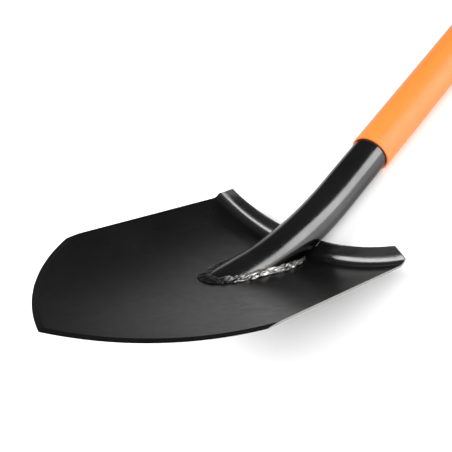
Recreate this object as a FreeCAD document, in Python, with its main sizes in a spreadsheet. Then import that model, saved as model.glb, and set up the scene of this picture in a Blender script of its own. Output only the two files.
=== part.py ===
import FreeCAD, Part
import Sketcher
import math
import os

# Metal detecting shovel: a dished, pointed steel blade welded to a bent steel tube, with an orange
# plastic sleeve over the tube and a D-shaped hand grip on top.
#
# Millimetres and degrees. Blade frame: x across, y from the point (0) to the heel, z up out of the
# dish. Shaft frame: origin where the tube's bend ends, z up the shaft, x across. Grip frame: the
# shaft frame moved to the tube's upper end. At the end everything is laid on its back on z = 0.

Vector = FreeCAD.Vector
Placement = FreeCAD.Placement
Rotation = FreeCAD.Rotation

X_AXIS = Vector(1, 0, 0)
Y_AXIS = Vector(0, 1, 0)
Z_AXIS = Vector(0, 0, 1)

DIMENSIONS = {
    # blade
    "blade_width": 182.0,
    "corner_along": 104.0,
    "point_radius": 205.0,
    "heel_along": 272.5,
    "steel_thickness": 1.6,
    "dish_depth_point": 7.0,
    "dish_depth_heel": 21.4,
    "bevel_width": 4.0,
    "bevel_drop": 1.1,
    # treads: the turned-up heel edges
    "tread_bend_inside": 8.0,
    "tread_height": 14.9,
    "tread_sweep": 67.0,
    "tread_end_start": 3.5,
    "tread_end_run": 12.0,
    "tread_end_rise": 7.3,
    "tread_rounding": 0.6,
    "notch_tilt": 24.0,
    "notch_clearance": 0.15,
    "notch_depth": 40.0,
    # steel tube
    "tube_radius": 16.0,
    "tube_wall": 2.0,
    "entry_angle": 13.0,
    "entry_along": 213.2,
    "entry_height": -2.75,
    "entry_length": 92.0,
    "bend_radius": 295.0,
    "shaft_angle": 35.7,
    "shaft_length": 600.0,
    # weld beads
    "bead_radius": 4.2,
    "toe_bead_across": 9.5,
    "toe_bead_along": 7.5,
    "toe_bead_height": 3.1,
    "toe_bead_back": 6.0,
    "heel_bead_half": 12.8,
    # orange sleeve
    "sleeve_from": 55.5,
    "sleeve_bore": 16.35,
    "sleeve_radius": 17.75,
    # D-grip
    "socket_length": 82.0,
    "socket_radius": 20.2,
    "socket_cap": 12.0,
    "socket_cap_taper": 6.0,
    "socket_mouth_rim": 1.6,
    "socket_mouth_taper": 3.0,
    "socket_clearance": 0.15,
    "yoke_thickness": 25.0,
    "window_half": 46.0,
    "window_floor": 22.0,
    "window_turn": 34.0,
    "arm_width": 15.0,
    "arm_rounding": 6.0,
    "arm_shoulder_drop": 34.0,
    "arm_foot_inset": 2.0,
    "arm_foot_drop": 14.0,
    "bar_along": 92.0,
    "boss_radius": 21.2,
    "core_radius": 11.0,
    "core_wall": 1.5,
    "core_seat": 4.0,
    "core_end_play": 0.1,
    "cover_radius": 16.5,
    "cover_groove": 1.6,
    "cover_rings": 9,
    "cover_plain_end": 5.0,
    "cover_end_taper": 2.0,
    "cover_end_gap": 0.4,
    "cover_fit": 0.05,
    "grip_bolt_radius": 4.0,
    "bolt_clearance": 0.25,
    "counterbore_radius": 8.6,
    "counterbore_depth": 7.5,
    "washer_thickness": 1.2,
    "washer_inset": 0.6,
    "bolt_head_radius": 7.0,
    "bolt_head_height": 4.4,
    "bolt_head_rim": 0.8,
    "bolt_key_radius": 2.2,
    "bolt_key_depth": 2.4,
    "bolt_tip_taper": 0.6,
    "bolt_tip_length": 0.5,
    "nut_across_flats": 13.0,
    "nut_height": 5.0,
    "nut_fit": 0.02,
    # cross rivets through socket, sleeve and tube
    "rivet_radius": 2.4,
    "rivet_head_radius": 5.0,
    "rivet_head_height": 2.0,
    "rivet_spacing": 36.0,
    "rivet_top_inset": 20.0,
}

doc = FreeCAD.newDocument("detecting_shovel")


def make_dimension_sheet():
    """Put the driving dimensions in a spreadsheet, one named cell each."""
    sheet = doc.addObject("Spreadsheet::Sheet", "dims")
    for row, (alias, value) in enumerate(DIMENSIONS.items(), start=1):
        sheet.set(f"A{row}", alias)
        sheet.set(f"B{row}", str(value))
        sheet.setAlias(f"B{row}", alias)
    doc.recompute()
    return sheet


dims = make_dimension_sheet()


def dim(alias):
    return float(dims.get(alias))


# ---------------------------------------------------------------- sketches and bodies


def upright_section(along):
    """Placement of a plane across the tool at a distance along y, its own y axis pointing up."""
    return Placement(Vector(0, along, 0), Rotation(X_AXIS, 90))


def body_sketch(body, name, role, offset=Vector(0, 0, 0)):
    """A sketch on one of the body's origin planes, moved by an offset in the plane's own axes."""
    planes = [feature for feature in body.Origin.OriginFeatures if feature.Role == role]
    sketch = body.newObject("Sketcher::SketchObject", name)
    sketch.AttachmentSupport = (planes[0], [""])
    sketch.MapMode = "FlatFace"
    sketch.AttachmentOffset = Placement(offset, Rotation())
    return sketch


def draw_loop(sketch, corners):
    """Draw a closed outline. A corner is (x, y), or (x, y, through_x, through_y) where the edge
    that leaves the corner is an arc through the second point."""
    for index, corner in enumerate(corners):
        following = corners[(index + 1) % len(corners)]
        start = Vector(corner[0], corner[1], 0)
        end = Vector(following[0], following[1], 0)
        if len(corner) == 4:
            sketch.addGeometry(Part.Arc(start, Vector(corner[2], corner[3], 0), end), False)
        else:
            sketch.addGeometry(Part.LineSegment(start, end), False)


def draw_circle(sketch, radius_expression):
    """Draw a circle about the sketch's origin, its radius bound to the dimension sheet."""
    circle = sketch.addGeometry(Part.Circle(Vector(0, 0, 0), Z_AXIS, 1.0), False)
    sketch.addConstraint(Sketcher.Constraint("Coincident", circle, 3, -1, 1))
    radius = sketch.addConstraint(Sketcher.Constraint("Radius", circle, 1.0))
    sketch.setExpression(f"Constraints[{radius}]", radius_expression)


def add_pad(body, name, sketch, expression, symmetric=False):
    pad = body.newObject("PartDesign::Pad", name)
    pad.Profile = sketch
    pad.SideType = "Symmetric" if symmetric else "One side"
    pad.setExpression("Length", expression)
    return pad


def add_cut(body, name, sketch, expression=None, symmetric=True, reverse=False):
    """Cut the sketch's shape out: to a depth, or right through when no depth is given."""
    pocket = body.newObject("PartDesign::Pocket", name)
    pocket.Profile = sketch
    pocket.SideType = "Symmetric" if symmetric else "One side"
    pocket.Reversed = reverse
    if expression is None:
        pocket.Type = "ThroughAll"
    else:
        pocket.setExpression("Length", expression)
    return pocket


def add_turning(body, name, sketch, axis, expression="360"):
    turning = body.newObject("PartDesign::Revolution", name)
    turning.Profile = sketch
    turning.ReferenceAxis = (sketch, [axis])
    turning.Midplane = True
    turning.setExpression("Angle", expression)
    return turning


def new_body(name):
    return doc.addObject("PartDesign::Body", name)


def edges_where(shape, test):
    """Names of the shape's edges whose middle point and length pass a test."""
    names = []
    for number, edge in enumerate(shape.Edges, start=1):
        middle = edge.valueAt((edge.FirstParameter + edge.LastParameter) / 2)
        if test(middle, edge.Length):
            names.append(f"Edge{number}")
    return names


def add_fillet(body, name, base, edges, expression):
    fillet = body.newObject("PartDesign::Fillet", name)
    fillet.Base = (base, edges)
    fillet.setExpression("Radius", expression)
    return fillet


# ---------------------------------------------------------------- shared geometry

HALF_WIDTH = dim("blade_width") / 2
STEEL = dim("steel_thickness")
HEEL = dim("heel_along")
SECTION_MARGIN = 10.0
BLOCK_DEPTH = 60.0
HUGE = 200.0
OVERSHOOT = 3


def dish_depth(along):
    """Depth of the dish under the blade's side edges, at a distance from the point."""
    slope = (dim("dish_depth_heel") - dim("dish_depth_point")) / HEEL
    return dim("dish_depth_point") + slope * along


def dish_radius(along):
    depth = dish_depth(along)
    return (HALF_WIDTH**2 + depth**2) / (2 * depth)


def dish_height(across, along):
    """Height of the blade's upper face."""
    radius = dish_radius(along)
    return radius - math.sqrt(radius**2 - across**2)


def dished_strip(along, thickness):
    """Outline of a slice across the dish: its upper arc is the blade's upper face."""
    radius = dish_radius(along)
    depth = dish_depth(along)
    lower = radius - math.sqrt((radius + thickness) ** 2 - HALF_WIDTH**2)
    return [
        (-HALF_WIDTH, depth, 0, 0),
        (HALF_WIDTH, depth),
        (HALF_WIDTH, lower, 0, -thickness),
        (-HALF_WIDTH, lower),
    ]


def direction_at(angle):
    turned = math.radians(angle)
    return Vector(0, math.cos(turned), math.sin(turned))


def bend_point(angle):
    """Point on the tube's bent centre line where it has reached an angle."""
    entry = dim("entry_angle")
    bend_start = Vector(0, dim("entry_along"), dim("entry_height"))
    hub = bend_start + direction_at(entry + 90) * dim("bend_radius")
    return hub + direction_at(angle - 90) * dim("bend_radius")


def tube_path():
    """Corner points of the tube's centre line: start, bend start, bend middle, bend end, top."""
    entry = dim("entry_angle")
    final = dim("shaft_angle")
    bend_start = bend_point(entry)
    start = bend_start - direction_at(entry) * dim("entry_length")
    middle = bend_point((entry + final) / 2)
    bend_end = bend_point(final)
    top = bend_end + direction_at(final) * dim("shaft_length")
    return start, bend_start, middle, bend_end, top


def shaft_frame(distance=0.0):
    """Placement of the shaft frame in the blade frame, moved some way up the shaft."""
    bend_end = tube_path()[3]
    final = dim("shaft_angle")
    return Placement(bend_end + direction_at(final) * distance, Rotation(X_AXIS, final - 90))


def path_edges():
    start, bend_start, middle, bend_end, top = tube_path()
    return [
        Part.LineSegment(start, bend_start).toShape(),
        Part.Arc(bend_start, middle, bend_end).toShape(),
        Part.LineSegment(bend_end, top).toShape(),
    ]


def solid_rod(radius):
    """A solid rod along the tube's whole centre line."""
    start = tube_path()[0]
    circle = Part.Circle(start, direction_at(dim("entry_angle")), radius).toShape()
    return Part.Wire(path_edges()).makePipeShell([Part.Wire(circle)], True, False)


# ---------------------------------------------------------------- blade and tube


def make_blade():
    """Dished sheet trimmed to a pointed arch, ground to a bevel, its heel turned up each side."""
    body = new_body("blade")

    front = body_sketch(body, "front_section", "XZ_Plane", Vector(0, 0, SECTION_MARGIN))
    draw_loop(front, dished_strip(-SECTION_MARGIN, STEEL))
    heel = body_sketch(body, "heel_section", "XZ_Plane", Vector(0, 0, -HEEL))
    draw_loop(heel, dished_strip(HEEL, STEEL))
    sheet = body.newObject("PartDesign::AdditiveLoft", "dished_sheet")
    sheet.Profile = front
    sheet.Sections = [heel]
    sheet.Ruled = True

    trim = body_sketch(body, "point_outline", "XY_Plane")
    corner = dim("corner_along")
    right = arch_middle(HALF_WIDTH, corner)
    draw_loop(trim, [
        (-HUGE, corner),
        (-HALF_WIDTH, corner, -right[0], right[1]),
        (0, 0, right[0], right[1]),
        (HALF_WIDTH, corner),
        (HUGE, corner),
        (HUGE, -HUGE),
        (-HUGE, -HUGE),
    ])
    pointed = add_cut(body, "trim_to_point", trim)
    doc.recompute()

    upper = edges_where(
        pointed.Shape,
        lambda p, length: length > HALF_WIDTH and p.y < corner
        and p.z > dish_height(p.x, p.y) - STEEL / 2,
    )
    bevel = body.newObject("PartDesign::Chamfer", "ground_bevel")
    bevel.Base = (pointed, upper)
    bevel.ChamferType = "Two distances"
    bevel.setExpression("Size", "dims.bevel_width")
    bevel.setExpression("Size2", "dims.bevel_drop")
    doc.recompute()

    profile = body_sketch(body, "tread_profile", "YZ_Plane")
    inside = dim("tread_bend_inside")
    outside = inside + STEEL
    height = dim("tread_height")
    diagonal = math.sin(math.radians(45))
    draw_loop(profile, [
        (HEEL, 0, HEEL + inside * diagonal, inside - inside * diagonal),
        (HEEL + inside, inside),
        (HEEL + inside, height),
        (HEEL + outside, height),
        (HEEL + outside, inside, HEEL + outside * diagonal, inside - outside * diagonal),
        (HEEL, -STEEL),
    ])
    axis = dish_radius(HEEL)
    profile.addGeometry(Part.LineSegment(Vector(HEEL, axis, 0), Vector(HEEL + 10, axis, 0)), True)
    add_turning(body, "turned_up_treads", profile, "Axis0", "dims.tread_sweep")

    ends = body_sketch(body, "tread_ends", "XZ_Plane")
    run = dim("tread_end_run") * OVERSHOOT
    rise = dim("tread_end_rise") * OVERSHOOT
    edge_height = dish_depth(HEEL) + dim("tread_end_start")
    for side in (-1, 1):
        draw_loop(ends, [
            (side * HALF_WIDTH, -HUGE),
            (side * HALF_WIDTH, edge_height),
            (side * (HALF_WIDTH - run), edge_height + rise),
            (side * HUGE, edge_height + rise),
            (side * HUGE, -HUGE),
        ])
    add_cut(body, "cut_tread_ends", ends)

    notch = body_sketch(body, "tube_notch_circle", "XZ_Plane")
    notch_start = Placement(bend_point(dim("notch_tilt")), Rotation(X_AXIS, 90 + dim("notch_tilt")))
    notch.AttachmentOffset = upright_section(0).inverse().multiply(notch_start)
    draw_circle(notch, "dims.tube_radius + dims.notch_clearance")
    last = add_cut(body, "notch_for_tube", notch, "dims.notch_depth", symmetric=False)
    doc.recompute()

    def on_tread_top(point, length):
        radial = math.hypot(point.x, axis - point.z)
        return point.y > HEEL and abs(radial - (axis - height)) < 0.05 and length > HALF_WIDTH / 2

    last = add_fillet(body, "round_treads", last, edges_where(last.Shape, on_tread_top),
                      "dims.tread_rounding")
    body.Tip = last
    return body


def arch_middle(half, corner):
    """Middle point of the right-hand arc that runs from the point to the corner."""
    chord = math.hypot(half, corner)
    bulge = dim("point_radius") - math.sqrt(dim("point_radius") ** 2 - (chord / 2) ** 2)
    return half / 2 + bulge * corner / chord, corner / 2 - bulge * half / chord


def make_block_under_blade():
    """Everything below the blade's upper face: the tool that scarfs the tube's lower end."""
    sections = []
    for along in (-SECTION_MARGIN, HEEL):
        sketch = doc.addObject("Sketcher::SketchObject", "block_section")
        sketch.Placement = upright_section(along)
        draw_loop(sketch, dished_strip(along, BLOCK_DEPTH))
        sections.append(sketch)
    block = doc.addObject("Part::Loft", "block_under_blade")
    block.Sections = sections
    block.Solid = True
    block.Ruled = True
    return block


def make_tube(block, rivet_tools):
    """Bent steel tube, cut off along the blade's face, drilled across for the grip's rivets."""
    body = new_body("tube_blank")
    start, bend_start, middle, bend_end, top = tube_path()
    path = body_sketch(body, "centre_line", "YZ_Plane")
    flat = [Vector(point.y, point.z, 0) for point in (start, bend_start, middle, bend_end, top)]
    path.addGeometry(Part.LineSegment(flat[0], flat[1]), False)
    path.addGeometry(Part.Arc(flat[1], flat[2], flat[3]), False)
    path.addGeometry(Part.LineSegment(flat[3], flat[4]), False)

    ring = body_sketch(body, "tube_section", "XZ_Plane")
    facing = Placement(start, Rotation(X_AXIS, 90 + dim("entry_angle")))
    ring.AttachmentOffset = upright_section(0).inverse().multiply(facing)
    draw_circle(ring, "dims.tube_radius")
    draw_circle(ring, "dims.tube_radius - dims.tube_wall")
    pipe = body.newObject("PartDesign::AdditivePipe", "bent_tube")
    pipe.Profile = ring
    pipe.Spine = (path, ["Edge1", "Edge2", "Edge3"])

    scarfed = doc.addObject("Part::Cut", "tube_scarfed")
    scarfed.Base = body
    scarfed.Tool = block
    drilled = doc.addObject("Part::Cut", "shaft_tube")
    drilled.Base = scarfed
    drilled.Tool = rivet_tools
    return drilled


def make_rivet_tools(name, frame):
    """Two cylinders across the shaft where the rivets go."""
    holes = []
    for index in range(2):
        hole = doc.addObject("Part::Cylinder", f"{name}_{index + 1}")
        hole.setExpression("Radius", "dims.rivet_radius")
        hole.Height = HUGE
        down = -dim("rivet_top_inset") - index * dim("rivet_spacing")
        across = Placement(Vector(-HUGE / 2, 0, down), Rotation(Y_AXIS, 90))
        hole.Placement = frame.multiply(across)
        holes.append(hole)
    tools = doc.addObject("Part::MultiFuse", name)
    tools.Shapes = holes
    return tools


# ---------------------------------------------------------------- welds


SEARCH_STEPS = 40
SEAM_TURNS = range(26, 155, 8)


def seam_point(turn):
    """Where the tube's outside meets the blade's face, turned from the tube's upper line."""
    start = tube_path()[0]
    entry = dim("entry_angle")
    bend = dim("bend_radius")
    entry_length = dim("entry_length")
    bend_angle = dim("shaft_angle") - entry

    def surface_point(distance):
        angle = entry
        centre = start + direction_at(entry) * min(distance, entry_length)
        if distance > entry_length:
            angle = entry + math.degrees((distance - entry_length) / bend)
            centre = bend_point(angle)
        outward = direction_at(angle + 90) * math.cos(math.radians(turn))
        outward = outward + X_AXIS * math.sin(math.radians(turn))
        return centre + outward * dim("tube_radius")

    low = 0.0
    high = entry_length + math.radians(bend_angle) * bend
    for _ in range(SEARCH_STEPS):
        middle = (low + high) / 2
        point = surface_point(middle)
        if point.z > dish_height(point.x, point.y):
            high = middle
        else:
            low = middle
    return surface_point((low + high) / 2)


def keep_outside(shape, tools):
    """Trim a weld so that it only touches its neighbours."""
    for tool in tools:
        shape = shape.cut(tool)
    return max(shape.Solids, key=lambda solid: solid.Volume)


def weld_object(name, shape):
    feature = doc.addObject("Part::Feature", name)
    feature.Shape = shape
    return feature


def make_welds(blade, block):
    """A lumpy toe, a bead along each side and a short bead under the tube at the heel."""
    rod = solid_rod(dim("tube_radius"))
    metal = [rod, block.Shape, blade.Shape]
    bead = dim("bead_radius")
    welds = []
    for side, name in ((1, "near_side_weld"), (-1, "far_side_weld")):
        points = [seam_point(side * turn) for turn in SEAM_TURNS]
        curve = Part.BSplineCurve()
        curve.interpolate(points)
        circle = Part.Circle(points[0], points[1] - points[0], bead).toShape()
        run = Part.Wire(curve.toShape()).makePipeShell([Part.Wire(circle)], True, False)
        welds.append(weld_object(name, keep_outside(run, metal)))

    toe = seam_point(0)
    stretch = FreeCAD.Matrix()
    stretch.scale(dim("toe_bead_across"), dim("toe_bead_along"), dim("toe_bead_height"))
    lump = Part.makeSphere(1.0).transformGeometry(stretch)
    lump.translate(toe + Vector(0, dim("toe_bead_back"), 0))
    side_shapes = [weld.Shape for weld in welds]
    welds.append(weld_object("toe_weld", keep_outside(lump, metal + side_shapes)))

    under = seam_point(180)
    reach = dim("heel_bead_half")
    bar = Part.makeCylinder(bead, 2 * reach, Vector(-reach, under.y + bead / 2, under.z), X_AXIS)
    welds.append(weld_object("heel_weld", keep_outside(bar, metal + side_shapes)))
    return welds


# ---------------------------------------------------------------- sleeve and grip


def make_sleeve(rivet_tools):
    """Thin plastic tube over the steel, from above the bend to the top of the shaft."""
    body = new_body("sleeve_blank")
    ring = body_sketch(body, "sleeve_section", "XY_Plane", Vector(0, 0, dim("sleeve_from")))
    draw_circle(ring, "dims.sleeve_radius")
    draw_circle(ring, "dims.sleeve_bore")
    add_pad(body, "sleeve_tube", ring, "dims.shaft_length - dims.sleeve_from")
    body.Placement = shaft_frame()
    drilled = doc.addObject("Part::Cut", "shaft_sleeve")
    drilled.Base = body
    drilled.Tool = rivet_tools
    return drilled


def make_yoke():
    """Moulded D frame: a socket for the shaft, two arms round the hand window, a boss on each."""
    body = new_body("grip_yoke")
    half = dim("window_half")
    outer = half + dim("arm_width")
    bar = dim("bar_along")
    socket = dim("socket_radius")

    plate = body_sketch(body, "arms_outline", "XZ_Plane")
    shoulder = bar - dim("arm_shoulder_drop")
    foot = (socket - dim("arm_foot_inset"), -dim("arm_foot_drop"))
    sweep_across = outer - foot[0]
    sweep_up = shoulder - foot[1]
    sweep_radius = (sweep_across**2 + sweep_up**2) / (2 * sweep_across)
    half_turn = math.asin(sweep_up / sweep_radius) / 2
    swept = (
        outer - sweep_radius * (1 - math.cos(half_turn)),
        shoulder - sweep_radius * math.sin(half_turn),
    )
    draw_loop(plate, [
        (-outer, bar),
        (-outer, shoulder, -swept[0], swept[1]),
        (-foot[0], foot[1]),
        (foot[0], foot[1], swept[0], swept[1]),
        (outer, shoulder),
        (outer, bar),
    ])
    add_pad(body, "arms", plate, "dims.yoke_thickness", symmetric=True)

    window = body_sketch(body, "hand_window", "XZ_Plane")
    floor = dim("window_floor")
    turn = dim("window_turn")
    inset = turn * (1 - math.sin(math.radians(45)))
    draw_loop(window, [
        (-half, HUGE),
        (-half, floor + turn, -half + inset, floor + inset),
        (-half + turn, floor),
        (half - turn, floor, half - inset, floor + inset),
        (half, floor + turn),
        (half, HUGE),
    ])
    opened = add_cut(body, "open_window", window)
    doc.recompute()
    long_edges = edges_where(
        opened.Shape,
        lambda p, length: abs(abs(p.y) - dim("yoke_thickness") / 2) < 0.01
        and foot[1] + 1 < p.z < bar - 1,
    )
    add_fillet(body, "round_arms", opened, long_edges, "dims.arm_rounding")

    for side, name in ((1, "right"), (-1, "left")):
        inner_face = body_sketch(body, f"boss_circle_{name}", "YZ_Plane", Vector(0, bar, side * half))
        draw_circle(inner_face, "dims.boss_radius")
        boss = add_pad(body, f"boss_{name}", inner_face, "dims.arm_width")
        boss.Reversed = side < 0

    profile = body_sketch(body, "socket_profile", "XZ_Plane")
    length = dim("socket_length")
    cap = dim("socket_cap")
    cap_taper = dim("socket_cap_taper")
    bore = dim("sleeve_radius") + dim("socket_clearance")
    draw_loop(profile, [
        (0, 0),
        (bore, 0),
        (bore, -length),
        (bore + dim("socket_mouth_rim"), -length),
        (socket, -length + dim("socket_mouth_taper")),
        (socket, cap - cap_taper),
        (socket - cap_taper, cap),
        (0, cap),
    ])
    add_turning(body, "socket", profile, "V_Axis")

    bore_sketch = body_sketch(body, "bore_circle", "XY_Plane")
    draw_circle(bore_sketch, "dims.sleeve_radius + dims.socket_clearance")
    add_cut(body, "clear_bore", bore_sketch, "dims.socket_length", symmetric=False)

    cross = body_sketch(body, "bolt_hole_circle", "YZ_Plane", Vector(0, bar, 0))
    draw_circle(cross, "dims.grip_bolt_radius + dims.bolt_clearance")
    add_cut(body, "bolt_holes", cross)
    seat = body_sketch(body, "core_seat_circle", "YZ_Plane", Vector(0, bar, 0))
    draw_circle(seat, "dims.core_radius + dims.bolt_clearance / 2")
    last = add_cut(body, "core_seats", seat, "2 * (dims.window_half + dims.core_seat)")
    for side, name in ((1, "right"), (-1, "left")):
        outer_face = body_sketch(body, f"counterbore_{name}", "YZ_Plane", Vector(0, bar, side * outer))
        draw_circle(outer_face, "dims.counterbore_radius")
        last = add_cut(body, f"recess_{name}", outer_face, "dims.counterbore_depth",
                       symmetric=False, reverse=side < 0)
    for index in range(2):
        down = -dim("rivet_top_inset") - index * dim("rivet_spacing")
        hole = body_sketch(body, f"rivet_hole_{index + 1}", "YZ_Plane", Vector(0, down, 0))
        draw_circle(hole, "dims.rivet_radius")
        last = add_cut(body, f"rivet_way_{index + 1}", hole)
    body.Tip = last
    return body


def make_bar_core():
    """Steel spacer tube that carries the hand cover between the arms."""
    body = new_body("grip_bar_core")
    ring = body_sketch(body, "core_section", "YZ_Plane", Vector(0, dim("bar_along"), 0))
    draw_circle(ring, "dims.core_radius")
    draw_circle(ring, "dims.core_radius - dims.core_wall")
    add_pad(body, "core", ring, "2 * (dims.window_half + dims.core_seat - dims.core_end_play)",
            symmetric=True)
    return body


def make_cover():
    """Soft hand cover: a plump sleeve with shallow rings cut round it."""
    body = new_body("grip_cover")
    profile = body_sketch(body, "cover_profile", "XZ_Plane", Vector(0, dim("bar_along"), 0))
    half = dim("window_half") - dim("cover_end_gap")
    radius = dim("cover_radius")
    groove = dim("cover_groove")
    inner = dim("core_radius") + dim("cover_fit")
    rings = int(dim("cover_rings"))
    plain = dim("cover_plain_end")
    taper = dim("cover_end_taper")
    pitch = 2 * (half - plain) / rings
    outline = [(-half, inner), (-half, radius - taper), (-half + taper, radius)]
    for index in range(rings):
        middle = -half + plain + pitch * (index + 0.5)
        outline.append((middle - groove, radius, middle, radius - groove))
        outline.append((middle + groove, radius))
    outline += [(half - taper, radius), (half, radius - taper), (half, inner)]
    draw_loop(profile, outline)
    add_turning(body, "cover", profile, "H_Axis")
    return body


def recess_floor():
    """Distance across from the grip's middle to the seat of the bolt head or nut."""
    return dim("window_half") + dim("arm_width") - dim("counterbore_depth")


def make_bolt():
    """Button-headed bolt through the bar: head on the right, thread end on the left."""
    body = new_body("grip_bolt")
    profile = body_sketch(body, "bolt_profile", "XZ_Plane", Vector(0, dim("bar_along"), 0))
    seat = recess_floor() + dim("washer_thickness")
    shank = dim("grip_bolt_radius")
    head = dim("bolt_head_radius")
    top = seat + dim("bolt_head_height")
    rim = seat + dim("bolt_head_rim")
    crown = head * 0.45
    dome = ((rim + top) / 2 + head * 0.06, head * 0.78)
    key = dim("bolt_key_radius")
    key_floor = top - dim("bolt_key_depth")
    taper = dim("bolt_tip_taper")
    tip = -seat - dim("nut_height") - dim("bolt_tip_length")
    draw_loop(profile, [
        (tip, 0),
        (tip, shank - taper),
        (tip + taper, shank),
        (seat, shank),
        (seat, head),
        (rim, head, dome[0], dome[1]),
        (top, crown),
        (top, key),
        (key_floor, key),
        (key_floor, 0),
    ])
    add_turning(body, "bolt", profile, "H_Axis")
    return body


def make_nut():
    body = new_body("grip_nut")
    seat = recess_floor() + dim("washer_thickness")
    outline = body_sketch(body, "nut_outline", "YZ_Plane", Vector(0, dim("bar_along"), -seat))
    corner_radius = dim("nut_across_flats") / math.sqrt(3)
    corners = [math.radians(60 * index) for index in range(6)]
    draw_loop(outline, [(corner_radius * math.cos(a), corner_radius * math.sin(a)) for a in corners])
    draw_circle(outline, "dims.grip_bolt_radius + dims.nut_fit")
    nut = add_pad(body, "nut", outline, "dims.nut_height")
    nut.Reversed = True
    return body


def make_washers():
    """One washer under the bolt head and one under the nut."""
    washers = []
    for side, name in ((1, "right"), (-1, "left")):
        body = new_body(f"washer_{name}")
        ring = body_sketch(body, f"washer_ring_{name}", "YZ_Plane",
                           Vector(0, dim("bar_along"), side * recess_floor()))
        draw_circle(ring, "dims.counterbore_radius - dims.washer_inset")
        draw_circle(ring, "dims.grip_bolt_radius + dims.bolt_clearance")
        pad = add_pad(body, f"washer_pad_{name}", ring, "dims.washer_thickness")
        pad.Reversed = side < 0
        washers.append(body)
    group = doc.addObject("Part::Compound", "grip_washers")
    group.Links = washers
    return group


def make_rivets():
    """Two domed rivets across the socket."""
    rivets = []
    head = dim("rivet_head_radius")
    height = dim("rivet_head_height")
    seat = dim("socket_radius")
    shank = dim("rivet_radius")
    crown = head * 0.3
    shoulder = (seat + height * 0.7, head * 0.7)
    for index in range(2):
        body = new_body(f"rivet_{index + 1}")
        down = -dim("rivet_top_inset") - index * dim("rivet_spacing")
        profile = body_sketch(body, f"rivet_profile_{index + 1}", "XZ_Plane", Vector(0, down, 0))
        draw_loop(profile, [
            (-seat - height, 0),
            (-seat - height, crown, -shoulder[0], shoulder[1]),
            (-seat, head),
            (-seat, shank),
            (seat, shank),
            (seat, head, shoulder[0], shoulder[1]),
            (seat + height, crown),
            (seat + height, 0),
        ])
        add_turning(body, f"rivet_turned_{index + 1}", profile, "H_Axis")
        rivets.append(body)
    group = doc.addObject("Part::Compound", "socket_rivets")
    group.Links = rivets
    return group


# ---------------------------------------------------------------- resting pose and output


def resting_tilt():
    """Angle of the shaft above the floor when the sleeve's lower end and the bosses both touch."""
    run = dim("shaft_length") + dim("bar_along") - dim("sleeve_from")
    reach = math.hypot(run, dim("sleeve_radius"))
    tangent = math.asin(dim("boss_radius") / reach)
    return math.degrees(tangent - math.atan2(dim("sleeve_radius"), run))


def lay_down(nodes):
    """Turn everything on to its back, then bring the box's bottom centre to the origin."""
    turn = Placement(Vector(0, 0, 0), Rotation(X_AXIS, resting_tilt() - dim("shaft_angle")))
    for node in nodes:
        node.Placement = turn.multiply(node.Placement)
    doc.recompute()
    boxes = [node.Shape.optimalBoundingBox(False) for node in nodes]
    low_y = min(box.YMin for box in boxes)
    high_y = max(box.YMax for box in boxes)
    low_z = min(box.ZMin for box in boxes)
    shift = Placement(Vector(0, -(low_y + high_y) / 2, -low_z), Rotation())
    for node in nodes:
        node.Placement = shift.multiply(node.Placement)
    doc.recompute()


def check_document():
    for item in doc.Objects:
        if "Invalid" in item.State or "Error" in item.State:
            raise RuntimeError(f"{item.Name} did not build: {item.State}")


def write_parts(nodes):
    os.makedirs("parts", exist_ok=True)
    for node in nodes:
        shape = node.Shape
        if shape.isNull() or not shape.isValid():
            raise RuntimeError(f"{node.Label} has no valid shape")
        shape.exportStep(f"parts/{node.Label}.step")
        print(node.Label, len(shape.Solids), "solids", round(shape.Volume / 1000, 2), "cm3")


def build():
    grip_frame = shaft_frame(dim("shaft_length"))
    blade = make_blade()
    block = make_block_under_blade()
    doc.recompute()
    tube = make_tube(block, make_rivet_tools("tube_rivet_holes", grip_frame))
    sleeve = make_sleeve(make_rivet_tools("sleeve_rivet_holes", grip_frame))
    welds = make_welds(blade, block)
    grip = [make_yoke(), make_bar_core(), make_cover(), make_bolt(), make_nut(),
            make_washers(), make_rivets()]
    doc.recompute()
    for node in grip:
        node.Placement = grip_frame
    nodes = [blade, tube, sleeve] + welds + grip
    doc.recompute()
    check_document()
    lay_down(nodes)
    check_document()
    write_parts(nodes)


build()
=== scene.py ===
import math

import bmesh
import bpy
from mathutils import Matrix, Vector, noise


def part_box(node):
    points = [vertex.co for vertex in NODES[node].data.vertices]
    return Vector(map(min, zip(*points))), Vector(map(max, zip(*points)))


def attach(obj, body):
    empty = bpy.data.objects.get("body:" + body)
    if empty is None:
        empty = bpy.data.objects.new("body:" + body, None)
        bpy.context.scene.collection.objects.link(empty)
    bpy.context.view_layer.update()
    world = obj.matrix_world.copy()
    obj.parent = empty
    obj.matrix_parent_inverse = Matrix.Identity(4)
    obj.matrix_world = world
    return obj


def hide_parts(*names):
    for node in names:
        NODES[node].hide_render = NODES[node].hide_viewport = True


# Looks of the detecting shovel, in metres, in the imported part's own frame: the tool lies on its
# back along Y, point towards -Y, floor at z = 0.

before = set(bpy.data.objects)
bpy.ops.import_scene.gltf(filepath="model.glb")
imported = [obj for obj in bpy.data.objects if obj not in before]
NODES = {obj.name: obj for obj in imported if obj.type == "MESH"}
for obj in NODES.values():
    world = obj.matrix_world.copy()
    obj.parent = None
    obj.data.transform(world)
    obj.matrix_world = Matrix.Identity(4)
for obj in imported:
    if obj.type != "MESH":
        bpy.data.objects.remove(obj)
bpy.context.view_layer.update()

MM = 0.001

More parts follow.
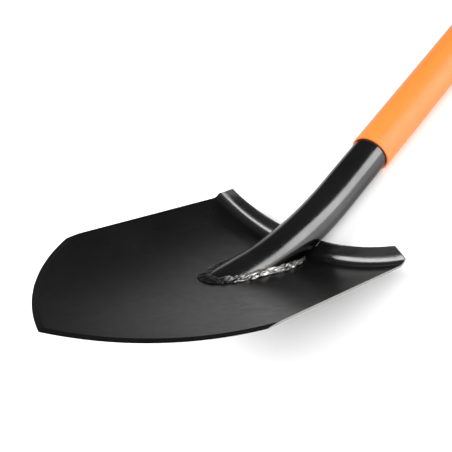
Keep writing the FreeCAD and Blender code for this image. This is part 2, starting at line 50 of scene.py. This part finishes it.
# The blade lies tilted: unit vectors along it and out of its dish, the point's place, and the
# distance along it at which the treads start to fold.
BLADE_TILT = math.radians(35.389)
BLADE_AXIS = Vector((0.0, math.cos(BLADE_TILT), -math.sin(BLADE_TILT)))
BLADE_UP = Vector((0.0, math.sin(BLADE_TILT), math.cos(BLADE_TILT)))
BLADE_ORIGIN = Vector((0.0, -0.49922, 0.16541))
BLADE_LENGTH = 0.2725
FOLD_START = BLADE_ORIGIN.dot(BLADE_AXIS) + BLADE_LENGTH
FOLD_FADE = 6.0 * MM

# Beyond this distance from the middle the blade's sheared sides carry a painted reflection: a light grey,
# partly metal colour stands in for the bright reflection on their cut faces.
EDGE_SHINE_FROM = 0.09088
EDGE_SHINE_FADE = 0.1 * MM

# Places along the blade: up to the first one enamel covers the near bead fully, and from the
# second one on bare metal shines through.
BEAD_DARK_TO = FOLD_START - 0.108
BEAD_SHOWN_FROM = FOLD_START - 0.094

# Weld surfaces: mesh size, how many crests per metre each layer of relief has, and how much the
# crests are drawn out along the seam.
WELD_MESH = 0.5 * MM
FOLDS_PER_METRE = 330.0
LUMPS_PER_METRE = 560.0
GRAINS_PER_METRE = 1200.0
DRAWN_OUT = 0.8

# The lamps aim this far above the floor at the heel; the camera aims this far from the blade's middle.
LIGHT_HEIGHT = 0.04
VIEW_SHIFT = Vector((0.00406, 0.03386, 0.01985))


# ---------------------------------------------------------------- node material helpers


class Shader:
    """A material with a Principled surface, and short ways to add procedural detail to it."""

    def __init__(self, name):
        self.material = bpy.data.materials.new(name)
        self.material.use_nodes = True
        self.nodes = self.material.node_tree.nodes
        self.links = self.material.node_tree.links
        self.surface = self.nodes["Principled BSDF"]
        self.place = self.nodes.new("ShaderNodeTexCoord").outputs["Object"]

    def set(self, **values):
        for name, value in values.items():
            self.surface.inputs[name.replace("_", " ")].default_value = value

    def link(self, source, name):
        self.links.new(source, self.surface.inputs[name])

    def stretched(self, scale):
        """Object coordinates scaled by different amounts along x, y and z."""
        mapping = self.nodes.new("ShaderNodeMapping")
        mapping.inputs["Scale"].default_value = scale
        self.links.new(self.place, mapping.inputs["Vector"])
        return mapping.outputs["Vector"]

    def noise(self, scale, detail=4.0, roughness=0.55, vector=None, distortion=0.0):
        texture = self.nodes.new("ShaderNodeTexNoise")
        texture.inputs["Scale"].default_value = scale
        texture.inputs["Detail"].default_value = detail
        texture.inputs["Roughness"].default_value = roughness
        texture.inputs["Distortion"].default_value = distortion
        self.links.new(vector or self.place, texture.inputs["Vector"])
        return texture.outputs["Fac"]

    def cells(self, scale, vector=None):
        texture = self.nodes.new("ShaderNodeTexVoronoi")
        texture.inputs["Scale"].default_value = scale
        self.links.new(vector or self.place, texture.inputs["Vector"])
        return texture.outputs["Distance"]

    def span(self, source, low, high, from_low=0.3, from_high=0.7):
        """Stretch a texture's values from one range on to another."""
        node = self.nodes.new("ShaderNodeMapRange")
        node.inputs["From Min"].default_value = from_low
        node.inputs["From Max"].default_value = from_high
        node.inputs["To Min"].default_value = low
        node.inputs["To Max"].default_value = high
        self.links.new(source, node.inputs["Value"])
        return node.outputs["Result"]

    def blend(self, factor, first, second):
        """Mix two colours, or two linked colours, by a texture; inputs 6 and 7 are the colours."""
        node = self.nodes.new("ShaderNodeMix")
        node.data_type = "RGBA"
        self.links.new(factor, node.inputs["Factor"])
        for value, socket in ((first, node.inputs[6]), (second, node.inputs[7])):
            if isinstance(value, tuple):
                socket.default_value = value
            else:
                self.links.new(value, socket)
        return node.outputs[2]

    def times(self, first, second):
        """Product of two linked values."""
        node = self.nodes.new("ShaderNodeMath")
        node.operation = "MULTIPLY"
        self.links.new(first, node.inputs[0])
        self.links.new(second, node.inputs[1])
        return node.outputs["Value"]

    def along_blade(self):
        """Distance from the blade's point along its own length, in metres."""
        node = self.nodes.new("ShaderNodeVectorMath")
        node.operation = "DOT_PRODUCT"
        node.inputs[1].default_value = BLADE_AXIS
        self.links.new(self.place, node.inputs[0])
        return node.outputs["Value"]

    def across(self):
        """Distance from the tool's middle plane, in metres."""
        split = self.nodes.new("ShaderNodeSeparateXYZ")
        self.links.new(self.place, split.inputs["Vector"])
        node = self.nodes.new("ShaderNodeMath")
        node.operation = "ABSOLUTE"
        self.links.new(split.outputs["X"], node.inputs[0])
        return node.outputs["Value"]

    def bump(self, height, strength, distance, under=None):
        """Add surface relief; under is an earlier relief that this one lies on."""
        node = self.nodes.new("ShaderNodeBump")
        node.inputs["Strength"].default_value = strength
        node.inputs["Distance"].default_value = distance
        self.links.new(height, node.inputs["Height"])
        if under is not None:
            self.links.new(under, node.inputs["Normal"])
        return node.outputs["Normal"]


def black_enamel(name, shade, roughness, peel, gloss):
    """Black stoved enamel: slightly uneven shade and gloss, with orange peel and fine dust."""
    shader = Shader(name)
    shader.set(Specular_IOR_Level=gloss)
    dark = (shade, shade, shade, 1.0)
    light = (shade * 1.5, shade * 1.5, shade * 1.5, 1.0)
    broad = shader.noise(14.0, detail=5.0)
    shader.link(shader.blend(shader.span(broad, 0.0, 1.0), dark, light), "Base Color")
    fine = shader.noise(230.0, detail=3.0, vector=shader.stretched((1.0, 0.35, 1.0)))
    shader.link(shader.span(fine, roughness * 0.86, roughness * 1.18), "Roughness")
    skin = shader.bump(shader.noise(420.0, detail=2.0), peel, 0.12 * MM)
    dust = shader.bump(shader.noise(2600.0, detail=1.0), peel * 0.5, 0.03 * MM, under=skin)
    shader.link(dust, "Normal")
    return shader


def blade_enamel():
    """The blade's enamel, which has run a little thicker and glossier into the folded treads; its sheared
    sides carry a painted reflection.
    """
    shader = black_enamel("blade_enamel", 0.0042, 0.21, 0.018, 0.028)
    along = shader.along_blade()
    gloss = shader.span(along, 0.028, 0.55, FOLD_START, FOLD_START + FOLD_FADE)
    shader.link(gloss, "Specular IOR Level")
    # Painted reflection: past this distance from the middle the sheared sides turn part metal, with a
    # fixed light grey colour standing in for the bright reflection on their cut faces.
    bare_metal_and_painted_edge_shine = shader.span(shader.across(), 0.0, 0.6, EDGE_SHINE_FROM, EDGE_SHINE_FROM + EDGE_SHINE_FADE)
    shader.link(bare_metal_and_painted_edge_shine, "Metallic")
    scuffs_and_painted_edge_shine = shader.span(shader.across(), 0.0, 1.0, EDGE_SHINE_FROM, EDGE_SHINE_FROM + EDGE_SHINE_FADE)
    enamel = shader.surface.inputs["Base Color"].links[0].from_socket
    shader.link(shader.blend(scuffs_and_painted_edge_shine, enamel, (0.27, 0.265, 0.26, 1)), "Base Color")
    return shader.material


def tube_enamel():
    """Thick glossy enamel over the bent tube.

    It is set up as a dark metal, so that its grazing reflections stay subdued.
    """
    shader = black_enamel("tube_enamel", 0.060, 0.19, 0.02, 0.5)
    shader.set(Metallic=1.0, Specular_Tint=(0.6, 0.6, 0.6, 1.0))
    return shader.material


def weld_dark():
    """Enamel pooled over rough weld metal: black, uneven in gloss, finely pitted."""
    shader = Shader("weld_dark")
    mottled = shader.noise(240.0, detail=6.0)
    shader.link(shader.blend(mottled, (0.002, 0.002, 0.002, 1), (0.008, 0.008, 0.008, 1)), "Base Color")
    shader.link(shader.span(shader.noise(500.0), 0.26, 0.48), "Roughness")
    shader.link(shader.span(shader.noise(300.0), 0.0, 0.14), "Specular IOR Level")
    pits = shader.bump(shader.cells(1500.0), 0.2, 0.12 * MM)
    shader.link(shader.bump(shader.noise(700.0), 0.3, 0.25 * MM, under=pits), "Normal")
    return shader.material


def weld_bright():
    """Weld metal that shines through its thin enamel, except at the bead's dark lower end."""
    shader = Shader("weld_bright")
    shader.set(Specular_IOR_Level=0.2)
    folds = shader.stretched((1.0, 0.25, 1.0))
    patches = shader.noise(330.0, detail=5.0, vector=folds, distortion=0.8)
    shown = shader.span(shader.along_blade(), 0.0, 1.0, BEAD_DARK_TO, BEAD_SHOWN_FROM)
    bare_metal_and_painted_edge_shine = shader.times(shader.span(patches, 0.0, 1.0, 0.44, 0.5), shown)
    shader.link(shader.blend(bare_metal_and_painted_edge_shine, (0.005, 0.005, 0.005, 1), (0.50, 0.49, 0.48, 1)), "Base Color")
    shader.link(bare_metal_and_painted_edge_shine, "Metallic")
    shader.link(shader.span(shader.noise(600.0), 0.22, 0.42), "Roughness")
    shader.link(shader.bump(shader.noise(900.0, detail=3.0), 0.14, 0.12 * MM), "Normal")
    return shader.material


def orange_plastic():
    """Satin extruded tube: faint drawing lines along it, a little mottling and scuffing."""
    shader = Shader("orange_plastic")
    shader.set(Specular_IOR_Level=0.85)
    along = shader.stretched((1.0, 0.02, 1.0))
    streaks = shader.noise(900.0, detail=3.0, vector=along)
    tint = shader.blend(shader.span(streaks, 0.0, 1.0), (0.90, 0.160, 0.012, 1), (0.93, 0.186, 0.018, 1))
    shader.link(tint, "Base Color")
    scuffs_and_painted_edge_shine = shader.noise(60.0, detail=8.0, roughness=0.7)
    shader.link(shader.span(scuffs_and_painted_edge_shine, 0.5, 0.62), "Roughness")
    lines = shader.bump(streaks, 0.12, 0.05 * MM)
    grain = shader.bump(shader.noise(1900.0, detail=2.0), 0.1, 0.05 * MM, under=lines)
    shader.link(grain, "Normal")
    return shader.material


def black_moulding():
    """Matt moulded plastic with a fine spark-eroded texture."""
    shader = Shader("black_moulding")
    shader.set(Specular_IOR_Level=0.35)
    broad = shader.noise(35.0, detail=6.0, roughness=0.65)
    shader.link(shader.blend(broad, (0.011, 0.011, 0.012, 1), (0.022, 0.022, 0.023, 1)), "Base Color")
    shader.link(shader.span(shader.noise(150.0), 0.42, 0.58), "Roughness")
    grain = shader.bump(shader.cells(2300.0), 0.35, 0.08 * MM)
    shader.link(shader.bump(shader.noise(1400.0), 0.25, 0.08 * MM, under=grain), "Normal")
    return shader.material


def orange_rubber():
    """Soft matt hand cover: powdery sheen, slight grime in broad patches."""
    shader = Shader("orange_rubber")
    shader.set(Specular_IOR_Level=0.3, Sheen_Weight=0.25, Sheen_Roughness=0.5)
    grime = shader.noise(70.0, detail=7.0, roughness=0.65)
    shader.link(shader.blend(shader.span(grime, 0.0, 1.0), (0.70, 0.135, 0.012, 1), (0.86, 0.19, 0.02, 1)),
                "Base Color")
    shader.link(shader.span(shader.noise(260.0), 0.55, 0.72), "Roughness")
    shader.link(shader.bump(shader.noise(1700.0, detail=3.0), 0.3, 0.1 * MM), "Normal")
    return shader.material


def zinc_steel():
    """Bright zinc plate with a faint straw cast and turning marks."""
    shader = Shader("zinc_steel")
    shader.set(Metallic=1.0)
    cast = shader.noise(160.0, detail=5.0)
    shader.link(shader.blend(cast, (0.50, 0.49, 0.45, 1), (0.66, 0.65, 0.62, 1)), "Base Color")
    shader.link(shader.span(shader.noise(500.0), 0.24, 0.42), "Roughness")
    marks = shader.noise(2600.0, detail=2.0, vector=shader.stretched((1.0, 0.1, 1.0)))
    shader.link(shader.bump(marks, 0.2, 0.03 * MM), "Normal")
    return shader.material


def pale_floor():
    """Pale studio board with a barely visible tooth."""
    shader = Shader("pale_floor")
    shader.set(Specular_IOR_Level=0.2)
    tone = shader.noise(3.0, detail=6.0)
    shader.link(shader.blend(tone, (0.86, 0.86, 0.86, 1), (0.88, 0.88, 0.88, 1)), "Base Color")
    shader.link(shader.span(shader.noise(40.0), 0.6, 0.7), "Roughness")
    shader.link(shader.bump(shader.noise(600.0), 0.05, 0.1 * MM), "Normal")
    return shader.material


def dress(node, material):
    """Give a CAD node a finished material in place of its plain one."""
    slots = NODES[node].data.materials
    if not slots:
        slots.append(material)
    for index in range(len(slots)):
        slots[index] = material


def dress_everything():
    """Finished materials for every CAD node except the welds, which are replaced."""
    zinc = zinc_steel()
    dress("blade", blade_enamel())
    dress("shaft_tube", tube_enamel())
    dress("shaft_sleeve", orange_plastic())
    dress("grip_yoke", black_moulding())
    dress("grip_cover", orange_rubber())
    for node in ("grip_bar_core", "grip_bolt", "grip_nut", "grip_washers", "socket_rivets"):
        dress(node, zinc)


# ---------------------------------------------------------------- weld metal


def solid_copy(node, voxel):
    """The CAD node's shape as an even, closed mesh of small faces."""
    source = bpy.data.objects.new("remesh_source", NODES[node].data.copy())
    bpy.context.scene.collection.objects.link(source)
    remesh = source.modifiers.new("even", "REMESH")
    remesh.mode = "VOXEL"
    remesh.voxel_size = voxel
    graph = bpy.context.evaluated_depsgraph_get()
    mesh = bpy.data.meshes.new_from_object(source.evaluated_get(graph))
    bpy.data.objects.remove(source)
    return mesh


def roughen(mesh, height, grain, sink, seed):
    """Push each point along its normal into crests and folds that run along the seam.

    The end nearer the blade's point is also lowered into the corner that the bead fills, so the
    bead starts thin.
    """
    shift = Vector((seed * 3.1, seed * 1.7, seed * 5.3))
    along = [vertex.co.dot(BLADE_AXIS) for vertex in mesh.vertices]
    start = min(along)
    thin_part = (max(along) - start) * 0.5
    moves = []
    for vertex, distance in zip(mesh.vertices, along):
        place = vertex.co - BLADE_AXIS * (DRAWN_OUT * distance)
        fold = 1.0 - 2.0 * abs(noise.noise(place * FOLDS_PER_METRE + shift))
        coarse = noise.noise(place * LUMPS_PER_METRE + shift * 2)
        fine = noise.noise(vertex.co * GRAINS_PER_METRE + shift)
        thin = max(0.0, 1.0 - (distance - start) / thin_part)
        inward = BLADE_UP + Vector((math.copysign(1.0, vertex.co.x), 0.0, 0.0))
        relief = height * (fold - 0.8) + 0.5 * height * coarse + grain * fine
        moves.append(vertex.normal * relief - inward * (sink * thin))
    for vertex, move in zip(mesh.vertices, moves):
        vertex.co = vertex.co + move


def weld_piece(node, material, height, grain, sink, seed):
    """Replace a bead's smooth CAD shape with a rough one made from the same solid."""
    mesh = solid_copy(node, WELD_MESH)
    roughen(mesh, height, grain, sink, seed)
    for polygon in mesh.polygons:
        polygon.use_smooth = True
    mesh.materials.clear()
    mesh.materials.append(material)
    piece = bpy.data.objects.new(f"{node}_metal", mesh)
    bpy.context.scene.collection.objects.link(piece)
    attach(piece, "root")
    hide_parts(node)
    return piece


def lay_welds():
    """Only the near bead shines; each bead has its own relief, grain, sink and noise seed."""
    bright = weld_bright()
    dark = weld_dark()
    weld_piece("near_side_weld", bright, 1.7 * MM, 0.16 * MM, 1.3 * MM, 1)
    weld_piece("far_side_weld", dark, 0.4 * MM, 0.1 * MM, 1.3 * MM, 2)
    weld_piece("toe_weld", dark, 0.8 * MM, 0.25 * MM, 0.0, 3)
    weld_piece("heel_weld", dark, 0.5 * MM, 0.1 * MM, 0.0, 4)


# ---------------------------------------------------------------- floor, light and camera


def lay_floor():
    mesh = bpy.data.meshes.new("floor")
    shape = bmesh.new()
    bmesh.ops.create_grid(shape, x_segments=8, y_segments=8, size=9.0)
    shape.to_mesh(mesh)
    shape.free()
    mesh.materials.append(pale_floor())
    floor = bpy.data.objects.new("floor", mesh)
    bpy.context.scene.collection.objects.link(floor)


def heading(azimuth, elevation):
    """Unit vector: azimuth 0 looks along +Y and 90 along -X, elevation above the horizon."""
    turn = math.radians(azimuth)
    rise = math.radians(elevation)
    level = math.cos(rise)
    return Vector((-math.sin(turn) * level, math.cos(turn) * level, math.sin(rise)))


def softbox(name, target, azimuth, elevation, distance, width, height, brightness):
    """A diffusing panel that faces the target; brightness is its radiance."""
    light = bpy.data.lights.new(name, "AREA")
    light.shape = "RECTANGLE"
    light.size = width
    light.size_y = height
    light.energy = brightness * math.pi * width * height
    lamp = bpy.data.objects.new(name, light)
    away = heading(azimuth, elevation)
    lamp.location = target + away * distance
    lamp.rotation_mode = "QUATERNION"
    lamp.rotation_quaternion = away.to_track_quat("Z", "Y")
    lamp.visible_camera = False
    bpy.context.scene.collection.objects.link(lamp)


def light_scene(target):
    """Each box is placed by the part of the tool that mirrors it.

    The numbers are azimuth, elevation, distance, width, height and brightness.
    """
    softbox("key_box", target, -46.0, 16.0, 1.3, 0.72, 0.76, 5.5)
    softbox("overhead_box", target, 228.0, 50.0, 2.3, 3.0, 2.8, 3.7)
    softbox("fold_box", target, 123.0, 46.0, 1.5, 1.1, 0.5, 15.0)
    softbox("fade_box", target, 129.0, 27.0, 1.5, 1.2, 0.42, 4.0)
    softbox("left_panel", target, 145.0, 14.0, 2.0, 1.6, 0.8, 1.3)
    world = bpy.data.worlds.new("studio")
    world.use_nodes = True
    background = world.node_tree.nodes["Background"]
    background.inputs["Color"].default_value = (1.0, 1.0, 1.0, 1.0)
    background.inputs["Strength"].default_value = 0.14
    bpy.context.scene.world = world


def place_camera(target):
    """Look across the dish from beside the blade's point, rolled as the tool was held."""
    azimuth = 49.825
    elevation = -43.354
    roll = -18.224
    distance = 0.65975
    forward = heading(azimuth, elevation)
    level = forward.to_track_quat("-Z", "Y").to_matrix()
    camera_data = bpy.data.cameras.new("camera")
    camera_data.sensor_width = 36.0
    camera_data.lens = 74.392
    camera_data.clip_start = 0.05
    camera_data.clip_end = 60.0
    camera = bpy.data.objects.new("camera", camera_data)
    camera.rotation_mode = "QUATERNION"
    camera.rotation_quaternion = (level @ Matrix.Rotation(math.radians(roll), 3, "Z")).to_quaternion()
    camera.location = target - forward * distance
    bpy.context.scene.collection.objects.link(camera)
    bpy.context.scene.camera = camera


def set_exposure():
    view = bpy.context.scene.view_settings
    view.view_transform = "Standard"
    view.look = "None"
    view.exposure = 0.0
    view.gamma = 1.0


def build():
    blade_low, blade_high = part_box("blade")
    blade_middle = (blade_low + blade_high) / 2
    dress_everything()
    lay_welds()
    lay_floor()
    set_exposure()
    light_scene(Vector((0.0, blade_high.y, LIGHT_HEIGHT)))
    place_camera(blade_middle + VIEW_SHIFT)


build()
